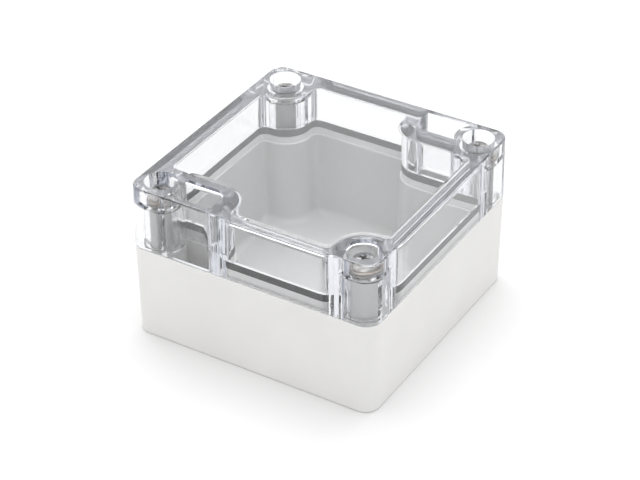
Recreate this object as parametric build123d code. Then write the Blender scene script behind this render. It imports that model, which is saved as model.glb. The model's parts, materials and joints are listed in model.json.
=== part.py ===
"""Small wall-mounting enclosure: a moulded tub with a deep clear lid, a gasket and four lid screws.

Frame: millimetres, +Z up, the origin at the middle of the underside. X runs along the front face to the
right and Y runs from the front face to the back. The part keeps its shape when it is turned half a turn
about Z: a mounting well opens beside the front left screw and another beside the back right screw.
"""
from build123d import *
from math import atan, degrees
import os

# ---- overall size -------------------------------------------------------------------------------------
WIDTH = 90.0                 # outside, at the joint between tub and lid, the same along X and Y
TOTAL_HEIGHT = 56.0
DECK_Z = 33.5                # flat top of the tub wall, on which the lid comes down
SEAM_GAP = 0.25              # left open between tub and lid: the gasket carries the lid
CORNER_RADIUS = 5.5
TUB_DRAFT = 0.55             # how much each side draws in from the deck to the underside
LID_DRAFT = 0.30             # how much each side draws in from the seam to the top
FOOT_ROUNDING = 0.6          # outside edge of the underside
SEAM_ROUNDING = 0.35         # outside edges that face each other at the seam
TOP_ROUNDING = 0.7           # outside edge of the top

# ---- wall build-up ------------------------------------------------------------------------------------
SKIRT = 2.5                  # outer strip of the wall: the deck on the tub, the skirt on the lid
SEAL_WIDTH = 2.0             # inner strip of the wall: the tongue on the tub, the gasket on the lid
CAVITY_HALF = WIDTH / 2 - SKIRT - SEAL_WIDTH
TONGUE_TOP_Z = 36.7
TONGUE_GAP = 0.3             # between the tongue and the skirt
GASKET_GAP = 0.15            # between the tongue and the gasket
GASKET_PLAY = 0.05           # between the gasket and the rebate of the lid
GASKET_TOP_Z = 39.5          # top of the rebate in the lid
FLOOR = 3.0
LEDGE = 0.5                  # the tub wall is this much thicker below the tongue
LEDGE_Z = 34.2
TUB_CAVITY_DRAFT = 0.9
TOP_PLATE = 3.3
LID_CAVITY_DRAFT = 0.4
FLOOR_ROUNDING = 2.5         # inside, where the walls meet the floor
CEILING_ROUNDING = 1.2       # inside, where the walls meet the top plate

# ---- lid screws, their posts and bushes ---------------------------------------------------------------
SCREW_OFFSET = 36.9          # screw axes stand at (+-36.9, +-36.9)
RECESS_RADIUS = 5.3          # open recess above each screw head
WEB_BOTTOM_Z = 48.4          # floor of the recess: the part of the lid that the screw pulls down
WEB_TOP_Z = 50.0
WEB_HOLE_RADIUS = 2.35
POST_RADIUS = 3.4
POST_TOP_Z = 48.1
SLEEVE_INNER_RADIUS = 3.8    # clear sleeve that hangs from the web around the post
SLEEVE_OUTER_RADIUS = 5.2
CORNER_ROOM_RADIUS = 6.2     # hollow of the lid corner, outside the sleeve
WASHER_RADIUS = 3.9
WASHER_THICKNESS = 0.8
HEAD_RADIUS = 3.5
HEAD_HEIGHT = 2.1
HEAD_ROUNDING = 0.7
DRIVE_SPAN = 3.8             # cross recess: tip to tip, blade width and depth
DRIVE_BLADE = 0.9
DRIVE_DEPTH = 1.3
THREAD_RADIUS = 2.0          # M4, drawn smooth
RUNNING_CLEARANCE = 0.06     # between the screw and the bush, and between the screw and its washer
SCREW_LENGTH = 14.0
SCREW_POINT = 0.5
BUSH_RADIUS = 2.6
BUSH_LENGTH = 8.0
BUSH_FLANGE_RADIUS = 3.0
BUSH_FLANGE = 0.7
PILOT_RADIUS = 2.3
PILOT_END_Z = 35.0

# ---- gasket line around the screw bosses and the wells --------------------------------------------------
BOSS_CLEAR_RADIUS = 9.4      # from the screw axis to the cavity face of the boss
BOSS_RADIUS = 8.0            # boss wall where it faces a well
BOSS_FILLET = 3.0
WELL_WALL_Y = 27.5           # cavity face of the wall between the cavity and a well
WELL_WALL_X = 10.3
WELL_WALL_CORNER = 8.5

# ---- mounting wells -----------------------------------------------------------------------------------
WELL_END_X = 14.8
WELL_INNER_Y = 32.0
WELL_OUTER_Y = WIDTH / 2 - SKIRT - 0.1
WELL_INNER_CORNER = 4.0
WELL_OUTER_CORNER = 1.5
WELL_FLOOR = 4.0
MOUNT_HOLE_X = 21.9
MOUNT_HOLE_Y = 37.2
MOUNT_HOLE_RADIUS = 2.25

CORNERS = {"front_left": (-1, -1), "front_right": (1, -1), "back_right": (1, 1), "back_left": (-1, 1)}
OPEN_CORNERS = [(1, -1), (-1, 1)]       # a plain screw boss
WELL_CORNERS = [(-1, -1), (1, 1)]       # a screw boss with a well beside it
LID_BOTTOM_Z = DECK_Z + SEAM_GAP
EPS = 0.01


def prism(face, low, high, taper=0.0):
    """Extrude a flat shape from one height to another; a positive taper narrows it upwards."""
    return extrude(Pos(0, 0, low) * face, high - low, taper=taper)


def cylinder(radius, x, y, low, high):
    """Upright cylinder between two heights."""
    return Pos(x, y, low) * Cylinder(radius, high - low, align=(Align.CENTER, Align.CENTER, Align.MIN))


def rounded_square(side, radius):
    return Sketch() + RectangleRounded(side, side, radius)


def box_between(x0, x1, y0, y1):
    """Flat rectangle given by two opposite corners."""
    return Pos((x0 + x1) / 2, (y0 + y1) / 2) * Rectangle(abs(x1 - x0), abs(y1 - y0))


def cavity_outline(grow=0.0):
    """Inside line of the wall, moved outwards by grow. It steps in around every screw boss and well."""
    outline = Sketch() + Rectangle(2 * CAVITY_HALF, 2 * CAVITY_HALF)
    for sx, sy in OPEN_CORNERS:
        outline -= Pos(sx * SCREW_OFFSET, sy * SCREW_OFFSET) * Circle(BOSS_CLEAR_RADIUS)
    for sx, sy in WELL_CORNERS:
        block = box_between(sx * WELL_WALL_X, sx * WIDTH, sy * WELL_WALL_Y, sy * WIDTH)
        corner = block.vertices().sort_by_distance((sx * WELL_WALL_X, sy * WELL_WALL_Y, 0))[0]
        outline -= fillet(corner, WELL_WALL_CORNER)
    on_wall = [v for v in outline.vertices() if max(abs(v.X), abs(v.Y)) > CAVITY_HALF - EPS]
    outline = fillet(on_wall, BOSS_FILLET)
    if grow != 0:
        outline = offset(outline, grow)
    return outline


def well_outline(sx, sy):
    """Plan of a mounting well: a rounded slot that ends against the round screw boss."""
    slot = box_between(sx * WELL_END_X, sx * SCREW_OFFSET, sy * WELL_INNER_Y, sy * WELL_OUTER_Y)
    end = slot.vertices().filter_by(lambda v: abs(v.X) < WELL_END_X + EPS)
    inner = end.filter_by(lambda v: abs(v.Y) < WELL_INNER_Y + EPS)
    slot = fillet(inner, WELL_INNER_CORNER)
    outer = slot.vertices().filter_by(lambda v: abs(v.X) < WELL_END_X + EPS and abs(v.Y) > WELL_OUTER_Y - EPS)
    slot = fillet(outer, WELL_OUTER_CORNER)
    return slot - Pos(sx * SCREW_OFFSET, sy * SCREW_OFFSET) * Circle(BOSS_RADIUS)


def corner_room(x, y):
    """Plan of the hollow in a lid corner: inside the skirt, less the sleeve around the post."""
    room = Pos(x, y) * Circle(CORNER_ROOM_RADIUS)
    room = room & rounded_square(WIDTH - 2 * SKIRT, CORNER_RADIUS - SKIRT)
    return room - Pos(x, y) * (Circle(SLEEVE_OUTER_RADIUS) - Circle(SLEEVE_INNER_RADIUS))


def edges_at(shape, z, tolerance=EPS):
    """Edges that lie flat at one height."""
    low, high = z - tolerance, z + tolerance
    return shape.edges().filter_by(lambda e: low < e.bounding_box().min.Z and e.bounding_box().max.Z < high)


def make_base_tub():
    """Moulded tub with tongue, corner posts and two mounting wells."""
    draft = degrees(atan(TUB_DRAFT / DECK_Z))
    foot = rounded_square(WIDTH - 2 * TUB_DRAFT, CORNER_RADIUS - TUB_DRAFT)
    tub = prism(foot, 0, DECK_Z, taper=-draft)
    tub = fillet(edges_at(tub, 0), FOOT_ROUNDING)
    tub = fillet(edges_at(tub, DECK_Z), SEAM_ROUNDING)
    tub += prism(cavity_outline(SEAL_WIDTH - TONGUE_GAP), DECK_Z - EPS, TONGUE_TOP_Z)

    inner_draft = degrees(atan(TUB_CAVITY_DRAFT / (LEDGE_Z - FLOOR)))
    hollow = prism(cavity_outline(-LEDGE - TUB_CAVITY_DRAFT), FLOOR, LEDGE_Z, taper=-inner_draft)
    hollow = fillet(edges_at(hollow, FLOOR), FLOOR_ROUNDING)
    tub -= hollow
    tub -= prism(cavity_outline(0), LEDGE_Z - EPS, TONGUE_TOP_Z + 1)

    for sx, sy in WELL_CORNERS:
        tub -= prism(well_outline(sx, sy), WELL_FLOOR, DECK_Z + 1)
        tub -= cylinder(MOUNT_HOLE_RADIUS, sx * MOUNT_HOLE_X, sy * MOUNT_HOLE_Y, -1, WELL_FLOOR + 1)
    for sx, sy in CORNERS.values():
        x, y = sx * SCREW_OFFSET, sy * SCREW_OFFSET
        tub += cylinder(POST_RADIUS, x, y, DECK_Z - EPS, POST_TOP_Z)
        tub -= cylinder(BUSH_RADIUS, x, y, POST_TOP_Z - BUSH_LENGTH, POST_TOP_Z + 1)
        tub -= cylinder(BUSH_FLANGE_RADIUS, x, y, POST_TOP_Z - BUSH_FLANGE, POST_TOP_Z + 1)
        tub -= cylinder(PILOT_RADIUS, x, y, PILOT_END_Z, POST_TOP_Z)
    return tub


def make_lid():
    """Clear lid: walls with a rebate for the seal, top plate, wells, screw recesses and post sleeves."""
    height = TOTAL_HEIGHT - LID_BOTTOM_Z
    draft = degrees(atan(LID_DRAFT / height))
    lid = prism(rounded_square(WIDTH, CORNER_RADIUS), LID_BOTTOM_Z, TOTAL_HEIGHT, taper=draft)
    lid = fillet(edges_at(lid, TOTAL_HEIGHT), TOP_ROUNDING)
    lid = fillet(edges_at(lid, LID_BOTTOM_Z), SEAM_ROUNDING)

    ceiling = TOTAL_HEIGHT - TOP_PLATE
    inner_draft = degrees(atan(LID_CAVITY_DRAFT / (ceiling - GASKET_TOP_Z)))
    hollow = prism(cavity_outline(0), GASKET_TOP_Z, ceiling, taper=inner_draft)
    hollow = fillet(edges_at(hollow, ceiling), CEILING_ROUNDING)
    lid -= hollow
    lid -= prism(cavity_outline(SEAL_WIDTH), LID_BOTTOM_Z - 1, GASKET_TOP_Z)

    for sx, sy in WELL_CORNERS:
        lid -= prism(well_outline(sx, sy), LID_BOTTOM_Z - 1, TOTAL_HEIGHT + 1)
    for sx, sy in CORNERS.values():
        x, y = sx * SCREW_OFFSET, sy * SCREW_OFFSET
        lid -= prism(corner_room(x, y), LID_BOTTOM_Z - 1, WEB_BOTTOM_Z)
        lid -= cylinder(WEB_HOLE_RADIUS, x, y, WEB_BOTTOM_Z - 1, WEB_TOP_Z + 1)
        lid -= cylinder(RECESS_RADIUS, x, y, WEB_TOP_Z, TOTAL_HEIGHT + 1)
    return lid


def make_gasket():
    """Square-section seal in the lid's rebate; it follows the wall around every boss and well."""
    ring = cavity_outline(SEAL_WIDTH - GASKET_PLAY) - cavity_outline(0)
    return prism(ring, TONGUE_TOP_Z + GASKET_GAP, GASKET_TOP_Z - GASKET_PLAY)


def make_bush(x, y):
    """Flanged metal bush, pressed into the top of a post."""
    bush = cylinder(BUSH_RADIUS, x, y, POST_TOP_Z - BUSH_LENGTH, POST_TOP_Z)
    bush += cylinder(BUSH_FLANGE_RADIUS, x, y, POST_TOP_Z - BUSH_FLANGE, POST_TOP_Z)
    bore = cylinder(THREAD_RADIUS + RUNNING_CLEARANCE, x, y, POST_TOP_Z - BUSH_LENGTH - 1, POST_TOP_Z + 1)
    return bush - bore


def make_washer(x, y):
    """Flat washer between the screw head and the floor of its recess."""
    top = WEB_TOP_Z + WASHER_THICKNESS
    hole = cylinder(THREAD_RADIUS + RUNNING_CLEARANCE, x, y, WEB_TOP_Z - 1, top + 1)
    return cylinder(WASHER_RADIUS, x, y, WEB_TOP_Z, top) - hole


def make_screw(x, y):
    """M4 lid screw: rounded cylinder head with a cross recess, and a plain shank for the thread."""
    seat = WEB_TOP_Z + WASHER_THICKNESS
    head_top = seat + HEAD_HEIGHT
    head = cylinder(HEAD_RADIUS, x, y, seat, head_top)
    head = fillet(edges_at(head, head_top), HEAD_ROUNDING)
    for angle in (0, 90):
        head -= Pos(x, y, head_top) * Rot(0, 0, angle) * Box(DRIVE_SPAN, DRIVE_BLADE, 2 * DRIVE_DEPTH)
    end = seat - SCREW_LENGTH
    shank = cylinder(THREAD_RADIUS, x, y, end, seat + EPS)
    shank = chamfer(edges_at(shank, end), SCREW_POINT)
    return head + shank


def write(shape, name, color):
    shape.label = name
    shape.color = color
    export_step(shape, f"parts/{name}.step")


def main():
    os.makedirs("parts", exist_ok=True)
    write(make_base_tub(), "base_tub", Color(0.86, 0.86, 0.85))
    write(make_lid(), "clear_lid", Color(0.85, 0.88, 0.92, 0.35))
    write(make_gasket(), "lid_gasket", Color(0.12, 0.12, 0.12))
    for name, (sx, sy) in CORNERS.items():
        x, y = sx * SCREW_OFFSET, sy * SCREW_OFFSET
        write(make_screw(x, y), f"lid_screw_{name}", Color(0.75, 0.75, 0.76))
        write(make_washer(x, y), f"screw_washer_{name}", Color(0.83, 0.78, 0.74))
        write(make_bush(x, y), f"threaded_bush_{name}", Color(0.72, 0.58, 0.32))


main()
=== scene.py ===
"""Looks for the clear-lid enclosure: materials, cut screws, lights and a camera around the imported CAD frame.

Metres, +Z up, in the frame of the CAD model.
"""
import json
import math

import bmesh
import bpy
from mathutils import Matrix, Vector


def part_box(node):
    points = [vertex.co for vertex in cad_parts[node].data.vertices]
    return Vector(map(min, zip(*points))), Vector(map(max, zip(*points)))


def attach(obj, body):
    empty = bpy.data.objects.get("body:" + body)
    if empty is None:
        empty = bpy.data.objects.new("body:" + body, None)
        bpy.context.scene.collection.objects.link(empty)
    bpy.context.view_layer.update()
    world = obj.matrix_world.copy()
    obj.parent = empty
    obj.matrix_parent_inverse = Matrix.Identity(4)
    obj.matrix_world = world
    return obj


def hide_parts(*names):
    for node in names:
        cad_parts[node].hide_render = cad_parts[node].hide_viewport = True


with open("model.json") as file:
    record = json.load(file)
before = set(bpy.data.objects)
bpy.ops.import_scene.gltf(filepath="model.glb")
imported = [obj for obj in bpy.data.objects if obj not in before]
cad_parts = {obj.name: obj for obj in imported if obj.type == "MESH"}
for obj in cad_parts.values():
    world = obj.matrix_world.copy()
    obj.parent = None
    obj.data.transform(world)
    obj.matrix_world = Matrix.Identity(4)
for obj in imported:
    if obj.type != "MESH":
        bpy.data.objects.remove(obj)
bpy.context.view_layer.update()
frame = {"nodes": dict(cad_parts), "record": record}

MM = 0.001

# ---- camera: the photograph's viewing direction, distance and lens ---------------------------------------
AZIMUTH = math.radians(31.41)        # from the front face round to the right
ELEVATION = math.radians(34.43)
ROLL = math.radians(-0.34)
DISTANCE = 0.6815
AIM_HEIGHT = 0.030
AIM_RIGHT = -0.0008
AIM_UP = -0.0044
LENS = 117.67                        # millimetres, as is the sensor's width
SENSOR_WIDTH = 36.0
CLIP_START = 0.01


def make_camera():
    """Camera at DISTANCE from a point on the part's axis, moved a little in its own picture plane."""
    back = Vector((
        math.sin(AZIMUTH) * math.cos(ELEVATION),
        -math.cos(AZIMUTH) * math.cos(ELEVATION),
        math.sin(ELEVATION),
    ))
    level_right = (-back).cross(Vector((0, 0, 1))).normalized()
    level_up = level_right.cross(-back)
    right = math.cos(ROLL) * level_right + math.sin(ROLL) * level_up
    up = math.cos(ROLL) * level_up - math.sin(ROLL) * level_right
    data = bpy.data.cameras.new("camera")
    data.lens = LENS
    data.sensor_width = SENSOR_WIDTH
    data.clip_start = CLIP_START
    camera = bpy.data.objects.new("camera", data)
    aim = Vector((0, 0, AIM_HEIGHT)) + AIM_RIGHT * right + AIM_UP * up
    place = aim + DISTANCE * back
    camera.matrix_world = Matrix.Translation(place) @ Matrix((right, up, back)).transposed().to_4x4()
    bpy.context.scene.collection.objects.link(camera)
    bpy.context.scene.camera = camera


# ---- node helpers: each adds to a material's nodes and links, and returns an output socket ----------------
NOISE_LOW = 0.3              # nearly all of a noise lies between these two values
NOISE_HIGH = 0.7
OUTWARD_REACH = 1 * MM       # a face that looks outward has its plane at least this far from the part's axis
FACING_COSINE = 0.3          # least cosine between a face's normal and a direction that it looks in


def new_material(name):
    """A material with a plain Principled shader: (material, nodes, links, shader)."""
    material = bpy.data.materials.new(name)
    material.use_nodes = True
    nodes = material.node_tree.nodes
    return material, nodes, material.node_tree.links, nodes["Principled BSDF"]


def noise(nodes, links, scale, detail=3.0, rough=0.5):
    """Noise in object space, so that it sticks to the piece; scale is in features per metre."""
    coords = nodes.new("ShaderNodeTexCoord")
    texture = nodes.new("ShaderNodeTexNoise")
    texture.inputs["Scale"].default_value = scale
    texture.inputs["Detail"].default_value = detail
    texture.inputs["Roughness"].default_value = rough
    links.new(coords.outputs["Object"], texture.inputs["Vector"])
    return texture.outputs["Fac"]


def spread(nodes, links, value, low, high):
    """Maps a noise to low..high."""
    node = nodes.new("ShaderNodeMapRange")
    node.inputs["From Min"].default_value = NOISE_LOW
    node.inputs["From Max"].default_value = NOISE_HIGH
    node.inputs["To Min"].default_value = low
    node.inputs["To Max"].default_value = high
    links.new(value, node.inputs["Value"])
    return node.outputs["Result"]


def tint(nodes, links, value, dark, light):
    """Maps a noise to colours from dark to light."""
    ramp = nodes.new("ShaderNodeValToRGB")
    ramp.color_ramp.elements[0].position = NOISE_LOW
    ramp.color_ramp.elements[0].color = (*dark, 1)
    ramp.color_ramp.elements[1].position = NOISE_HIGH
    ramp.color_ramp.elements[1].color = (*light, 1)
    links.new(value, ramp.inputs["Fac"])
    return ramp.outputs["Color"]


def bump(nodes, links, height, depth, below=None):
    """Bump of a real depth in metres, stacked on another bump's normal if one is given."""
    node = nodes.new("ShaderNodeBump")
    node.inputs["Strength"].default_value = 1.0
    node.inputs["Distance"].default_value = depth
    links.new(height, node.inputs["Height"])
    if below is not None:
        links.new(below, node.inputs["Normal"])
    return node.outputs["Normal"]


def dot_above(nodes, links, first, second, limit):
    """1 where the dot product of a socket and a socket or a fixed vector is above a limit, 0 elsewhere."""
    dot = nodes.new("ShaderNodeVectorMath")
    dot.operation = "DOT_PRODUCT"
    links.new(first, dot.inputs[0])
    if isinstance(second, tuple):
        dot.inputs[1].default_value = second
    else:
        links.new(second, dot.inputs[1])
    step = nodes.new("ShaderNodeMath")
    step.operation = "GREATER_THAN"
    step.inputs[1].default_value = limit
    links.new(dot.outputs["Value"], step.inputs[0])
    return step.outputs["Value"]


def outward(nodes, links):
    """1 on faces that look away from the part's upright axis, 0 on all others."""
    coords = nodes.new("ShaderNodeTexCoord")
    flat = nodes.new("ShaderNodeVectorMath")
    flat.operation = "MULTIPLY"
    flat.inputs[1].default_value = (1, 1, 0)
    links.new(coords.outputs["Object"], flat.inputs[0])
    return dot_above(nodes, links, flat.outputs["Vector"], coords.outputs["Normal"], OUTWARD_REACH)


def towards(nodes, links, direction):
    """1 on faces that look in a direction, 0 on all others."""
    coords = nodes.new("ShaderNodeTexCoord")
    return dot_above(nodes, links, coords.outputs["Normal"], direction, FACING_COSINE)


def product(nodes, links, first, second):
    """One value times another."""
    node = nodes.new("ShaderNodeMath")
    node.operation = "MULTIPLY"
    links.new(first, node.inputs[0])
    links.new(second, node.inputs[1])
    return node.outputs["Value"]


def mix(nodes, links, fraction, first, second):
    """The first colour where the fraction is 0 and the second where it is 1."""
    node = nodes.new("ShaderNodeMix")
    node.data_type = "RGBA"
    links.new(fraction, node.inputs["Factor"])
    links.new(first, node.inputs["A"])
    links.new(second, node.inputs["B"])
    return node.outputs["Result"]


def above(nodes, links, height):
    """0 up to a height in object space, 1 from a millimetre above it."""
    coords = nodes.new("ShaderNodeTexCoord")
    parts = nodes.new("ShaderNodeSeparateXYZ")
    links.new(coords.outputs["Object"], parts.inputs["Vector"])
    ramp = nodes.new("ShaderNodeMapRange")
    ramp.inputs["From Min"].default_value = height
    ramp.inputs["From Max"].default_value = height + 1 * MM
    links.new(parts.outputs["Z"], ramp.inputs["Value"])
    return ramp.outputs["Result"]


def near_corners(nodes, links, start, end):
    """0 over the middle of the part, rising to 1 as the lesser of |x| and |y| goes from start to end."""
    coords = nodes.new("ShaderNodeTexCoord")
    absolute = nodes.new("ShaderNodeVectorMath")
    absolute.operation = "ABSOLUTE"
    links.new(coords.outputs["Object"], absolute.inputs[0])
    parts = nodes.new("ShaderNodeSeparateXYZ")
    links.new(absolute.outputs["Vector"], parts.inputs["Vector"])
    least = nodes.new("ShaderNodeMath")
    least.operation = "MINIMUM"
    links.new(parts.outputs["X"], least.inputs[0])
    links.new(parts.outputs["Y"], least.inputs[1])
    ramp = nodes.new("ShaderNodeMapRange")
    ramp.inputs["From Min"].default_value = start
    ramp.inputs["From Max"].default_value = end
    links.new(least.outputs["Value"], ramp.inputs["Value"])
    return ramp.outputs["Result"]


# ---- materials ------------------------------------------------------------------------------------------
POST_FOOT = 33.6 * MM            # just above the tub's deck, on which the posts and the tongue stand; above it the grey is painted lighter, as painted light
RIPPLE_FOOT = 35 * MM            # just above the lid's lower edge, which has no ripples
RIPPLE_START = 24 * MM           # ripples come in from here towards the corners
RIPPLE_END = 32 * MM


def moulded_grey():
    """Light grey moulded plastic with the fine spark-eroded texture of its mould, painted a little lighter on
    its inner faces and near white above its deck, as painted light.
    """
    material, nodes, links, shader = new_material("moulded_grey")
    cloud = noise(nodes, links, scale=45, detail=4)
    outside = tint(nodes, links, cloud, dark=(0.675, 0.671, 0.660), light=(0.710, 0.706, 0.696))
    # painted light: the inner faces are painted a little lighter than the outer faces of the same plastic
    inside_painted_lighter = tint(nodes, links, cloud, dark=(0.70, 0.70, 0.696), light=(0.735, 0.735, 0.731))
    # painted light: the posts and the tongue above the deck are painted near white, brighter than the walls of
    # the same plastic
    posts_painted_lighter = tint(nodes, links, cloud, dark=(0.94, 0.935, 0.93), light=(0.97, 0.965, 0.96))
    colour = mix(nodes, links, outward(nodes, links), inside_painted_lighter, outside)
    # above the deck the painted light of the posts' near white takes over
    colour = mix(nodes, links, above(nodes, links, POST_FOOT), colour, posts_painted_lighter)
    links.new(colour, shader.inputs["Base Color"])
    grain = noise(nodes, links, scale=3500, detail=2, rough=0.6)
    links.new(spread(nodes, links, grain, low=0.42, high=0.56), shader.inputs["Roughness"])
    waves = bump(nodes, links, noise(nodes, links, scale=60, detail=1), depth=0.02 * MM)
    links.new(bump(nodes, links, grain, depth=0.012 * MM, below=waves), shader.inputs["Normal"])
    shader.inputs["IOR"].default_value = 1.5
    return material


def clear_polycarbonate():
    """Clear polycarbonate, a touch blue in depth, with faint waves and with finer ripples at the corners."""
    material, nodes, links, shader = new_material("clear_polycarbonate")
    cloud = noise(nodes, links, scale=30, detail=2)
    colour = tint(nodes, links, cloud, dark=(0.985, 0.99, 0.995), light=(0.995, 0.997, 1.0))
    links.new(colour, shader.inputs["Base Color"])
    haze = noise(nodes, links, scale=900, detail=3)
    links.new(spread(nodes, links, haze, low=0.0, high=0.03), shader.inputs["Roughness"])
    waves = bump(nodes, links, noise(nodes, links, scale=70, detail=1), depth=0.015 * MM)
    corners = near_corners(nodes, links, RIPPLE_START, RIPPLE_END)
    ripples = product(nodes, links, noise(nodes, links, scale=420, detail=2), corners)
    ripples = product(nodes, links, ripples, above(nodes, links, RIPPLE_FOOT))
    links.new(bump(nodes, links, ripples, depth=0.03 * MM, below=waves), shader.inputs["Normal"])
    shader.inputs["Transmission Weight"].default_value = 1.0
    shader.inputs["IOR"].default_value = 1.585
    absorb = nodes.new("ShaderNodeVolumeAbsorption")
    absorb.inputs["Color"].default_value = (0.70, 0.72, 0.775, 1)
    absorb.inputs["Density"].default_value = 25.0
    links.new(absorb.outputs["Volume"], nodes["Material Output"].inputs["Volume"])
    return material


def black_rubber():
    """Rubber seal: black on its outer front and right faces, painted mid grey elsewhere as a painted
    reflection of the clear lid.
    """
    material, nodes, links, shader = new_material("black_rubber")
    cloud = noise(nodes, links, scale=160, detail=3)
    black = tint(nodes, links, cloud, dark=(0.016, 0.016, 0.017), light=(0.03, 0.03, 0.031))
    # painted reflection: the other faces of the same black rubber are painted mid grey
    painted_reflection_grey = tint(nodes, links, cloud, dark=(0.19, 0.19, 0.192), light=(0.24, 0.24, 0.242))
    # only the outer front and right faces keep the black; all other faces take the painted reflection grey
    front_right = product(nodes, links, outward(nodes, links), towards(nodes, links, (0.7, -0.7, 0)))
    links.new(mix(nodes, links, front_right, painted_reflection_grey, black), shader.inputs["Base Color"])
    grain = noise(nodes, links, scale=2500, detail=2)
    links.new(spread(nodes, links, grain, low=0.6, high=0.8), shader.inputs["Roughness"])
    links.new(bump(nodes, links, grain, depth=0.02 * MM), shader.inputs["Normal"])
    shader.inputs["Specular IOR Level"].default_value = 0.1
    return material


def machined_metal(name, dark, light, smooth, rough):
    """Metal with cloudy colour and a fine grain in its gloss and surface."""
    material, nodes, links, shader = new_material(name)
    cloud = noise(nodes, links, scale=700, detail=4)
    links.new(tint(nodes, links, cloud, dark, light), shader.inputs["Base Color"])
    grain = noise(nodes, links, scale=4000, detail=3)
    links.new(spread(nodes, links, grain, smooth, rough), shader.inputs["Roughness"])
    links.new(bump(nodes, links, grain, depth=0.004 * MM), shader.inputs["Normal"])
    shader.inputs["Metallic"].default_value = 1.0
    return material


def stainless_steel():
    dark, light = (0.16, 0.157, 0.153), (0.78, 0.77, 0.76)
    return machined_metal("stainless_steel", dark, light, smooth=0.16, rough=0.3)


def washer_metal():
    dark, light = (0.62, 0.55, 0.50), (0.74, 0.67, 0.62)
    return machined_metal("washer_metal", dark, light, smooth=0.25, rough=0.4)


def brass():
    dark, light = (0.72, 0.52, 0.26), (0.84, 0.64, 0.36)
    return machined_metal("brass", dark, light, smooth=0.2, rough=0.35)


def floor_white():
    """Matt pale floor that glows a little, so that it stays white around the contact shadow."""
    material, nodes, links, shader = new_material("floor_white")
    cloud = noise(nodes, links, scale=6, detail=3)
    colour = tint(nodes, links, cloud, dark=(0.49, 0.49, 0.49), light=(0.51, 0.51, 0.51))
    links.new(colour, shader.inputs["Base Color"])
    shader.inputs["Roughness"].default_value = 0.9
    shader.inputs["Specular IOR Level"].default_value = 0.1
    shader.inputs["Emission Color"].default_value = (1, 1, 1, 1)
    shader.inputs["Emission Strength"].default_value = 0.15
    return material


def make_finishes():
    """Material for each of the record's material slots."""
    makers = [moulded_grey, clear_polycarbonate, black_rubber, stainless_steel, washer_metal, brass]
    return {maker.__name__: maker() for maker in makers}


def paint_nodes(finishes):
    """Gives every CAD node the material of its slot."""
    for part in frame["record"]["subparts"]:
        node = frame["nodes"][part["node"]]
        node.data.materials.clear()
        node.data.materials.append(finishes[part["material_slot"]])


# ---- lid screws: M4 with a cut thread, a plain neck, a rounded head and a cross recess -------------------
COLUMNS = 64                 # points around the screw
ROWS_PER_TURN = 8            # rings in one turn of the thread
PITCH = 0.7 * MM
CREST_RADIUS = 2.0 * MM
ROOT_RADIUS = 1.62 * MM
CREST_SHARE = 1 / 6          # flat crest of the thread, as a share of the pitch
POINT_HEIGHT = 0.5 * MM
NECK_RADIUS = 1.8 * MM
NECK_HEIGHT = 1.2 * MM
SEAT_GAP = 0.01 * MM         # keeps the head off the washer that it turns on
HEAD_HEIGHT = 2.1 * MM
HEAD_CHAMFER = 0.15 * MM
HEAD_ROUNDING = 0.7 * MM
HEAD_STEPS = 6               # facets across the rounding
RECESS_DEPTH = 1.4 * MM
CUT_OVERSHOOT = 0.2 * MM     # how far the recess's cutter stands out of the head
WING_TOP = (3.8 * MM, 0.95 * MM)         # length and width of one wing of that cutter, at its top
WING_BOTTOM = (1.7 * MM, 0.7 * MM)
SHARP_ANGLE = math.radians(30)


def thread_radius(height, turn, length):
    """Radius of the shank at a height above its end; turn is the angle as a fraction of a turn."""
    if height > length - NECK_HEIGHT:
        return NECK_RADIUS
    phase = (height / PITCH - turn) % 1.0
    groove = max(0.0, (2 * abs(phase - 0.5) - CREST_SHARE) / (1 - CREST_SHARE))
    radius = CREST_RADIUS - (CREST_RADIUS - ROOT_RADIUS) * groove
    return min(radius, CREST_RADIUS - POINT_HEIGHT + height)


def head_outline(seat, top, head_radius):
    """(radius, height) points from under the head, round its side and up to its flat top."""
    outline = [(NECK_RADIUS, seat), (head_radius - HEAD_CHAMFER, seat), (head_radius, seat + HEAD_CHAMFER)]
    for step in range(HEAD_STEPS + 1):
        angle = math.radians(90 * step / HEAD_STEPS)
        outline.append((
            head_radius - HEAD_ROUNDING * (1 - math.cos(angle)),
            top - HEAD_ROUNDING * (1 - math.sin(angle)),
        ))
    return outline


def screw_rings(length, head_radius):
    """Rings of (radius, height) points, from the end of the shank up to the top of the head."""
    rows = round(length / PITCH * ROWS_PER_TURN)
    rings = []
    for row in range(rows + 1):
        height = length * row / rows
        rings.append([(thread_radius(height, k / COLUMNS, length), height) for k in range(COLUMNS)])
    outline = head_outline(length + SEAT_GAP, length + HEAD_HEIGHT, head_radius)
    return rings + [[point] * COLUMNS for point in outline]


def blank_screw(length, head_radius):
    """Screw without its recess, its end at the origin."""
    mesh = bpy.data.meshes.new("screw_blank")
    build = bmesh.new()
    loops = []
    for ring in screw_rings(length, head_radius):
        loop = []
        for k, (radius, height) in enumerate(ring):
            angle = 2 * math.pi * k / COLUMNS
            loop.append(build.verts.new((radius * math.cos(angle), radius * math.sin(angle), height)))
        loops.append(loop)
    for lower, upper in zip(loops, loops[1:]):
        for k in range(COLUMNS):
            j = (k + 1) % COLUMNS
            build.faces.new((lower[k], lower[j], upper[j], upper[k]))
    build.faces.new(list(reversed(loops[0])))
    build.faces.new(loops[-1])
    build.to_mesh(mesh)
    build.free()
    return bpy.data.objects.new("screw_blank", mesh)


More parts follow.
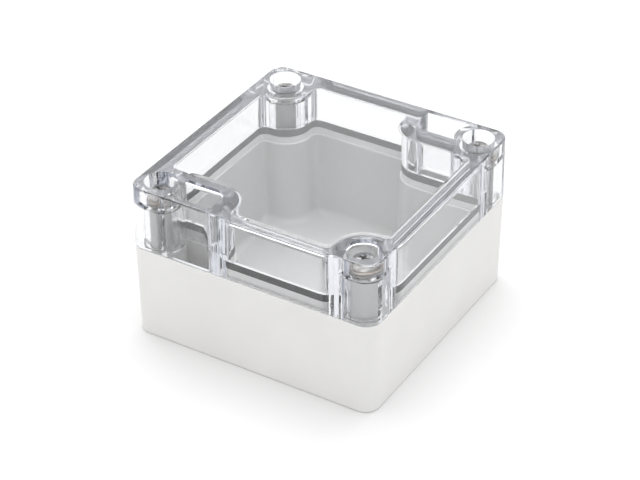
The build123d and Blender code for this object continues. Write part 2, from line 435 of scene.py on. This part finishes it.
def recess_wing(top, turned):
    """Tapered cutter for one wing of the cross recess, along X, or along Y if turned."""
    corners = []
    for height, (length, width) in ((top - RECESS_DEPTH, WING_BOTTOM), (top + CUT_OVERSHOOT, WING_TOP)):
        x, y = length / 2, width / 2
        if turned:
            x, y = y, x
        corners += [(-x, -y, height), (x, -y, height), (x, y, height), (-x, y, height)]
    faces = [(3, 2, 1, 0), (4, 5, 6, 7), (0, 1, 5, 4), (1, 2, 6, 5), (2, 3, 7, 6), (3, 0, 4, 7)]
    mesh = bpy.data.meshes.new("recess_wing")
    mesh.from_pydata(corners, [], faces)
    return bpy.data.objects.new("recess_wing", mesh)


def screw_mesh(length, head_radius):
    """One finished screw mesh, its end at the origin."""
    blank = blank_screw(length, head_radius)
    wings = [recess_wing(length + HEAD_HEIGHT, turned) for turned in (False, True)]
    for piece in [blank] + wings:
        bpy.context.scene.collection.objects.link(piece)
    for wing in wings:
        cut = blank.modifiers.new("recess", "BOOLEAN")
        cut.operation = "DIFFERENCE"
        cut.solver = "EXACT"
        cut.object = wing
    bpy.context.view_layer.update()
    depsgraph = bpy.context.evaluated_depsgraph_get()
    mesh = bpy.data.meshes.new_from_object(blank.evaluated_get(depsgraph))
    for piece in [blank] + wings:
        bpy.data.objects.remove(piece)
    for polygon in mesh.polygons:
        polygon.use_smooth = True
    mesh.set_sharp_from_angle(angle=SHARP_ANGLE)
    return mesh


def make_screws(finishes):
    """A cut screw in the place of each CAD screw, all copies of one mesh."""
    names = [part["node"] for part in frame["record"]["subparts"] if part["node"].startswith("lid_screw_")]
    low, high = (Vector(corner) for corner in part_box(names[0]))
    pattern = screw_mesh(high.z - low.z - HEAD_HEIGHT, (high.x - low.x) / 2)
    for name in names:
        low, high = (Vector(corner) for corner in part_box(name))
        mesh = pattern.copy()
        mesh.transform(Matrix.Translation(((low.x + high.x) / 2, (low.y + high.y) / 2, low.z)))
        mesh.materials.clear()
        mesh.materials.append(finishes["stainless_steel"])
        screw = bpy.data.objects.new(name.replace("lid_screw", "cut_screw"), mesh)
        bpy.context.scene.collection.objects.link(screw)
        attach(screw, name.replace("lid_screw", "screw"))
        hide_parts(name)


# ---- stage ----------------------------------------------------------------------------------------------
FLOOR_HALF = 3.0
FLOOR_DROP = 0.05 * MM           # keeps the floor from lying in the plane of the underside
SKY_STRENGTH = 1.08
SOFTBOX_PLACE = (-0.1, 0.2, 1.2)
SOFTBOX_AIM = (0, 0, 0.03)
SOFTBOX_SIDE = 1.2
SOFTBOX_POWER = 19               # watts
CLEAR_BOUNCES = 32               # light crosses many walls inside the lid
GLOSSY_BOUNCES = 16


def make_floor():
    """Plain pale floor under the part."""
    corners = [(x * FLOOR_HALF, y * FLOOR_HALF, 0) for x, y in ((-1, -1), (1, -1), (1, 1), (-1, 1))]
    mesh = bpy.data.meshes.new("floor")
    mesh.from_pydata(corners, [], [(0, 1, 2, 3)])
    mesh.materials.append(floor_white())
    floor = bpy.data.objects.new("floor", mesh)
    floor.location.z = -FLOOR_DROP
    bpy.context.scene.collection.objects.link(floor)


def make_lights():
    """Even white surroundings and one large softbox overhead."""
    world = bpy.data.worlds.new("studio")
    world.use_nodes = True
    sky = world.node_tree.nodes["Background"]
    sky.inputs["Color"].default_value = (1, 1, 1, 1)
    sky.inputs["Strength"].default_value = SKY_STRENGTH
    bpy.context.scene.world = world
    data = bpy.data.lights.new("top_softbox", "AREA")
    data.shape = "RECTANGLE"
    data.size = SOFTBOX_SIDE
    data.size_y = SOFTBOX_SIDE
    data.energy = SOFTBOX_POWER
    light = bpy.data.objects.new("top_softbox", data)
    light.location = SOFTBOX_PLACE
    light.rotation_euler = (Vector(SOFTBOX_AIM) - Vector(SOFTBOX_PLACE)).to_track_quat("-Z", "Y").to_euler()
    bpy.context.scene.collection.objects.link(light)


def set_view_and_bounces():
    """Colours shown as they are, and enough bounces for light to get through the lid."""
    scene = bpy.context.scene
    scene.view_settings.view_transform = "Standard"
    scene.cycles.max_bounces = CLEAR_BOUNCES
    scene.cycles.transmission_bounces = CLEAR_BOUNCES
    scene.cycles.glossy_bounces = GLOSSY_BOUNCES


make_camera()
finishes = make_finishes()
paint_nodes(finishes)
make_screws(finishes)
make_floor()
make_lights()
set_view_and_bounces()
